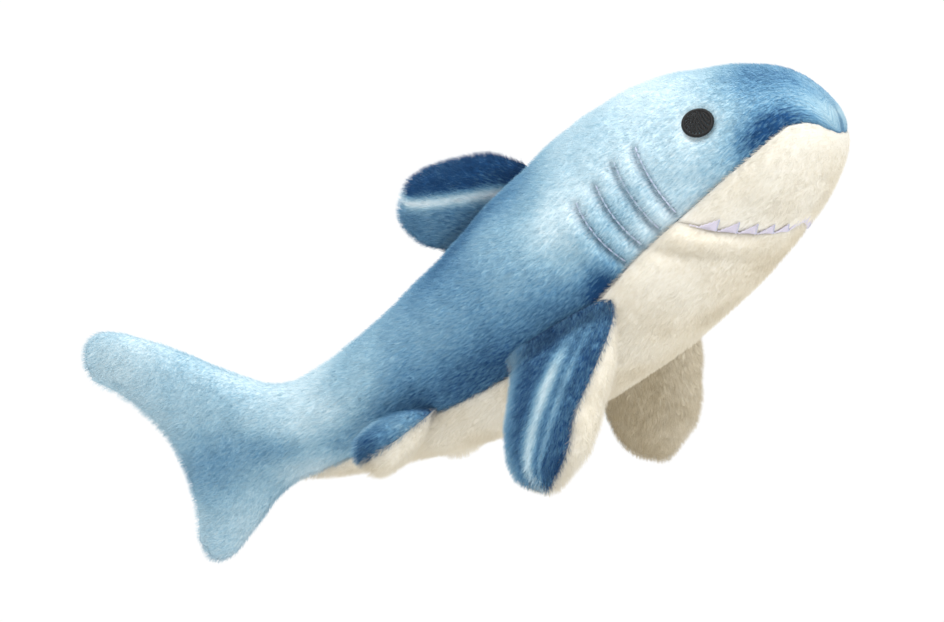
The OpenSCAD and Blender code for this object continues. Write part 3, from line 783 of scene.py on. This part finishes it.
# %% Faces outward
def face_outward(o):
    """Turn a closed shell's faces out, and return the volume of its cloth."""
    bm = bmesh.new()
    bm.from_mesh(o.data)
    bmesh.ops.recalc_face_normals(bm, faces=bm.faces[:])
    if bm.calc_volume(signed=True) < 0:
        bmesh.ops.reverse_faces(bm, faces=bm.faces[:])
    volume = bm.calc_volume(signed=True)
    bm.to_mesh(o.data)
    bm.free()
    return volume


cloth_pieces = [right_side, left_side, muzzle, belly] + [skin[0] for skin in fin_skins]
for o in cloth_pieces:
    print(o.name, "cloth volume", round(face_outward(o) / MM**3), "mm3")

# %% [markdown]
# The skins are left where they were built: the muzzle hangs on the torso, and the side, belly and fin
# skins keep their places. The CAD panels that they stand for are hidden.

# %% The skins in place
level_back = leaned(np.array([-1.0, 0, 0]))


def bend_tail(o):
    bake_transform(o)


def bend_fin(o):
    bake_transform(o)


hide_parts("right_side_panel", "tail_right_panel")
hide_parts("left_side_panel", "tail_left_panel")
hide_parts("muzzle_panel")
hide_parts("belly_panel")
for o in (right_side, left_side, belly):
    bend_tail(o)
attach(muzzle, "torso")
for piece, body, fin, sign, mat, node in fin_skins:
    bend_fin(piece)
    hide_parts(node)
print("padded cloth pieces", len(cloth_pieces))

# %% [markdown]
# ## Stuffing
# Inside the cloth is loose white polyester fibre. It is one soft mass for the body and tail and
# one for each fin, a little smaller than the cloth and lumpy, as pushed-in fibre is.


# %% A stuffing mass
STUFFING_INSET, FIN_INSET = 5.0, 3.4
CHIN_CLEAR, FIN_CLEAR = 2.2 * MM, 2 * MM


def stuffing(name, rows, cols, surface, node_names):
    bm = bmesh.new()
    bmesh.ops.create_grid(bm, x_segments=rows, y_segments=cols, size=0.5)
    verts, p, q = grid_of(bm)
    points = surface(p, q)
    for i, line in enumerate(verts):
        for j, v in enumerate(line):
            v.co = points[i, j]
    bmesh.ops.remove_doubles(bm, verts=bm.verts[:], dist=TINY)
    bmesh.ops.holes_fill(bm, edges=[e for e in bm.edges if len(e.link_faces) == 1], sides=0)
    bmesh.ops.triangulate(bm, faces=[f for f in bm.faces if len(f.verts) > 4])
    bmesh.ops.recalc_face_normals(bm, faces=bm.faces[:])
    if bm.calc_volume(signed=True) < 0:
        bmesh.ops.reverse_faces(bm, faces=bm.faces[:])
    open_edges = sum(1 for e in bm.edges if len(e.link_faces) != 2)
    print(name, round(bm.calc_volume(signed=True) / MM**3), "mm3,", open_edges, "open edges")
    o = new_object(name, bm, fibre_white)
    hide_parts(*node_names)
    return o


print("stuffing lies", FIN_INSET, "to", STUFFING_INSET, "mm inside the outer surface")


# %% Shapes of the stuffing
def body_mass(p, q):
    u, angle = (LAST - 1.4) * p, 90 - 360 * q
    base = skin(u, angle, STUFFING_INSET)
    # the lumps are the same on both sides, and fade at the nose, where all rows meet
    bumps = 0.8 * lumps(skin(u, 90 - np.abs(180 - 360 * q)), 0.012, 20) * np.clip(p * 12, 0, 1)
    points = base + skin_normal(u, angle) * bumps[..., None] * MM
    points[:, -1] = points[:, 0]
    points[..., 2] = np.maximum(points[..., 2], CHIN_CLEAR)
    return points


def fin_mass(fin, sign):
    def surface(p, q):
        points = fin_point(fin, 0.05 + 0.83 * p, 2 * math.pi * q, 1, FIN_INSET)
        points[:, -1] = points[:, 0]
        points[..., 2] = np.maximum(points[..., 2], FIN_CLEAR)
        return points * [1, sign, 1]
    return surface


def stuff_fin(body, fin, sign):
    mass = stuffing(f"{body}_stuffing_mass", 20, 28, fin_mass(fin, sign), [f"{body}_stuffing"])
    bend_fin(mass)


bend_tail(stuffing("body_stuffing_mass", 90, 48, body_mass, ["body_stuffing", "tail_stuffing"]))
for key, fin in (("breast", BREAST_FIN), ("pelvic", PELVIC_FIN)):
    for side, sign in SIDES:
        stuff_fin(f"{side}_{key}_fin", fin, sign)
stuff_fin("back_fin", BACK_FIN, 1)

# %% [markdown]
# ## Embroidery
# The eyes, gills and teeth are stitched with shiny thread. One stitch is a flattened spindle, fat
# in the middle and thin where it dives into the cloth. Rows of stitches fill the eye, and a satin
# border of short threads goes round it. Each stitch has only a few dozen faces.


# %% One stitch, many times
def stitches(name, runs, material, body, node_names):
    """runs holds (start, end, way out, width, height) of each stitch, in metres."""
    bm = bmesh.new()
    swing = Matrix.Rotation(math.pi / 2, 4, "Y")  # lays the ball's poles along the stitch
    for start, end, out, width, height in runs:
        start, end, out = Vector(start), Vector(end), Vector(out)
        way = end - start
        made = bmesh.ops.create_uvsphere(bm, u_segments=6, v_segments=5, radius=0.5)
        x = way.normalized()
        y = out.cross(x).normalized()
        z = x.cross(y)
        turn = Matrix((x * way.length, y * width, z * height)).transposed().to_4x4()
        centre = Matrix.Translation((start + end) / 2)
        bmesh.ops.transform(bm, matrix=centre @ turn @ swing, verts=made["verts"])
    o = new_object(name, bm, material)
    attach(o, body)
    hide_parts(*node_names)
    print(name, len(runs), "stitches,", len(o.data.polygons), "faces")


def on_skin(along, angle, out=0.0):
    """A place on the cloth, out millimetres off it, and the way out there."""
    u = row_of(np.array(float(along)))
    n = skin_normal(np.array(u), np.array(float(angle)))
    return skin(u, np.array(float(angle))) + n * out * MM, n


def mirrored(runs):
    m = np.array([1, -1, 1])
    return [(s * m, e * m, o * m, w, h) for s, e, o, w, h in runs]


print("middle of the eye", on_skin(EYE_PLACE, EYE_ANGLE)[0].round(3))


# %% Filling of the eyes
EYE_ROWS, ROW_GAP, TILT = 25, 0.36, math.radians(58)
STITCH, STITCH_STEP, SHORTEST = 1.75, 1.65, 0.3
BORDER_STITCHES, BORDER_WIDE, BORDER_SKEW = 92, 1.25, 0.10
SPAN = 6  # degrees of skin over which the eye's scale is measured
eye_arc = on_skin(EYE_PLACE, EYE_ANGLE + SPAN / 2)[0] - on_skin(EYE_PLACE, EYE_ANGLE - SPAN / 2)[0]
eye_degrees = SPAN / np.linalg.norm(eye_arc / MM)
rng = random.Random(7)


def eye_point(x, y, lift):
    """A place on the eye, in millimetres from its middle, laid on the skin's curve."""
    return on_skin(EYE_PLACE - x, EYE_ANGLE + y * eye_degrees, lift)


eye_runs = []
cx, cy = math.cos(TILT), math.sin(TILT)
for k in range(EYE_ROWS):
    off = (k - (EYE_ROWS - 1) / 2) * ROW_GAP
    half = math.sqrt(max(0.0, (EYE_R - 0.9) ** 2 - off * off))
    start = -half + (k % 3) * STITCH_STEP / 3 - STITCH_STEP / 3
    while start < half:
        a0, a1 = max(start, -half), min(start + STITCH, half)
        if a1 - a0 > SHORTEST:
            ends = [eye_point(s * cx - off * cy, s * cy + off * cx, 0.55 + 0.08 * rng.random())
                    for s in (a0, a1)]
            eye_runs.append((ends[0][0], ends[1][0], ends[0][1], 0.46 * MM, 0.55 * MM))
        start += STITCH_STEP
print("filling stitches of one eye", len(eye_runs))

# %% Satin border of the eyes
for k in range(BORDER_STITCHES):
    turn = 2 * math.pi * k / BORDER_STITCHES
    skew = turn + BORDER_SKEW
    near, far = EYE_R - BORDER_WIDE, EYE_R + 0.1
    inner = eye_point(near * math.cos(turn), near * math.sin(turn), 0.75)
    outer = eye_point(far * math.cos(skew), far * math.sin(skew), 0.35)
    eye_runs.append((inner[0], outer[0], inner[1], 0.48 * MM, 0.9 * MM))
stitches("right_eye_stitches", eye_runs, black_thread, "torso", ["right_eye"])
stitches("left_eye_stitches", mirrored(eye_runs), black_thread, "torso", ["left_eye"])

# %% Gill lines
GILL_STITCHES = 11
gill_runs = []
for i in range(len(GILLS)):
    for k in range(GILL_STITCHES):
        ends = [gill_line(i, (k + part) / GILL_STITCHES) for part in (0.02, 1.02)]
        pts = [on_skin(along - 0.5, angle, -0.35) for along, angle in ends]
        gill_runs.append((pts[0][0], pts[1][0], pts[0][1], 0.62 * MM, 0.7 * MM))
stitches("right_gill_threads", gill_runs, grey_thread, "torso", ["right_gill_stitches"])
stitches("left_gill_threads", mirrored(gill_runs), grey_thread, "torso", ["left_gill_stitches"])

# %% [markdown]
# The mouth is a line of small stitches round the snout. On it stands a row of teeth, each a
# triangle filled in with short upright threads, lower towards the middle of the mouth. A darker
# thread runs down each tooth's side that faces the middle, as painted shade along that side.

# %% Mouth line
MOUTH_STITCHES, MOUTH_SPAN = 96, (0.035, 0.965)


def part_way(span, x):
    return span[0] + (span[1] - span[0]) * x


def mouth_point(f, up_mm, lift):
    """A place f of the way round the mouth line and up_mm above it, and the way out there."""
    along = MOUTH_FRONT + (MOUTH_CORNER - MOUTH_FRONT) * abs(2 * f - 1) ** MOUTH_CURVE
    u = float(row_of(along))
    low = float(seam_angle(np.array(u)))
    angle = low + (-180 - 2 * low) * f
    p, n = on_skin(along - up_mm, angle, lift)
    p = np.array([p[0], p[1], max(p[2], 0.15 * MM)])
    return p, n


mouth_runs = []
for k in range(MOUTH_STITCHES):
    f0, f1 = (part_way(MOUTH_SPAN, x / MOUTH_STITCHES) for x in (k, k + 1.08))
    a0, a1 = mouth_point(f0, 0.2, -0.35), mouth_point(f1, 0.2, -0.35)
    mouth_runs.append((a0[0], a1[0], a0[1], 0.55 * MM, 0.5 * MM))
print("mouth line stitches", len(mouth_runs))

# %% Teeth
TEETH, TOOTH_H, TOOTH_SPAN = 14, 5.8, (0.055, 0.945)
TOOTH_FOOT = (0.04, 0.96)  # where each tooth starts and ends in its share of the mouth
FILL, SHADE_LINE = 11, 4  # stitches that fill one tooth, and darker ones down its side as painted shade
PEAK = 0.53


def tooth_top(k, s):
    """Where tooth k is at s of its breadth, 0 at its corner side, and how tall it is there."""
    from_left = 1 - s if k >= TEETH / 2 else s
    f = part_way(TOOTH_SPAN, (k + part_way(TOOTH_FOOT, from_left)) / TEETH)
    climb = s / 0.5 if s < 0.5 else (1 - s) / 0.5
    return f, TOOTH_H * climb * (0.55 + 0.45 * abs(2 * f - 1) ** 0.8)


shade_line_runs = []
for k in range(TEETH):
    for j in range(FILL):
        f, tall = tooth_top(k, (j + 0.5) / FILL)
        foot = mouth_point(f, 0.1, 0.25)
        top = mouth_point(f, 0.3 + tall, 0.75)
        mouth_runs.append((foot[0], top[0], foot[1], 0.62 * MM, 0.6 * MM))
    peak, tall = tooth_top(k, PEAK)
    low = tooth_top(k, 1)[0]
    # a darker thread down the tooth's side facing the middle of the mouth: painted shade
    for m in range(SHADE_LINE):
        pair = [mouth_point(peak + (low - peak) * x, 0.4 + tall * (1 - x), 0.7)
                for x in (m / SHADE_LINE, (m + 1.1) / SHADE_LINE)]
        shade_line_runs.append((pair[0][0], pair[1][0], pair[0][1], 0.5 * MM, 0.6 * MM))
stitches("mouth_stitches", mouth_runs, lilac_thread, "torso", ["mouth_embroidery"])
stitches("tooth_outline_stitches", shade_line_runs, grey_thread, "torso", ["mouth_embroidery"])

# %% [markdown]
# ## Pile
# The pile itself is hundreds of thousands of short hairs, combed from the nose back and from each
# fin's root out. They soften the outline and let the cream pile spill over the blue at the seams.

# %% Grow the pile
SIDE_PILE, CREAM_PILE, FIN_PILE = 1.8 * MM, 1.9 * MM, 2.1 * MM
SIDE_HAIRS, MUZZLE_HAIRS, BELLY_HAIRS = 110000, 22000, 66000
BREAST_FIN["hairs"], PELVIC_FIN["hairs"], BACK_FIN["hairs"] = 17000, 5000, 11000
HAIR_RADIUS = 0.09 * MM
OUTWARD, COMBED, STRAY = 0.6, 0.75, 0.36  # shares of the length that a hair goes each way


def grow(o, count, length, way, seed):
    o.modifiers.new("pile", "PARTICLE_SYSTEM")
    s = o.particle_systems[-1]
    s.seed = seed
    s.vertex_group_density = "pile"
    p = s.settings
    p.type = "HAIR"
    p.count = count
    p.use_advanced_hair = True
    p.emit_from = "FACE"
    p.distribution = "RAND"
    p.use_even_distribution = True
    p.hair_step = 3
    p.display_step = p.render_step = 2
    # Blender makes a hair four times as long as its starting speed, hence the quarters
    p.hair_length = length * OUTWARD
    p.object_align_factor = tuple(float(c) * length * COMBED / 4 for c in way)
    p.factor_random = length * STRAY / 4
    p.child_type = "NONE"
    p.root_radius = 1.0
    p.tip_radius = 0.35
    p.radius_scale = HAIR_RADIUS
    p.material = 1


grow(right_side, SIDE_HAIRS, SIDE_PILE, level_back, 1)
grow(left_side, SIDE_HAIRS, SIDE_PILE, level_back, 2)
grow(muzzle, MUZZLE_HAIRS, CREAM_PILE, level_back, 3)
grow(belly, BELLY_HAIRS, CREAM_PILE, level_back, 4)
for k, (piece, body, fin, sign, mat, node) in enumerate(fin_skins):
    way_out = fin["out"] * [1, sign, 1] - 0.5 * fin["along"] * [1, sign, 1]
    grow(piece, fin["hairs"], FIN_PILE, way_out, 10 + k)
hairs = [s.settings.count for o in cloth_pieces for s in o.particle_systems]
print("pile systems", len(hairs), "hairs", sum(hairs))
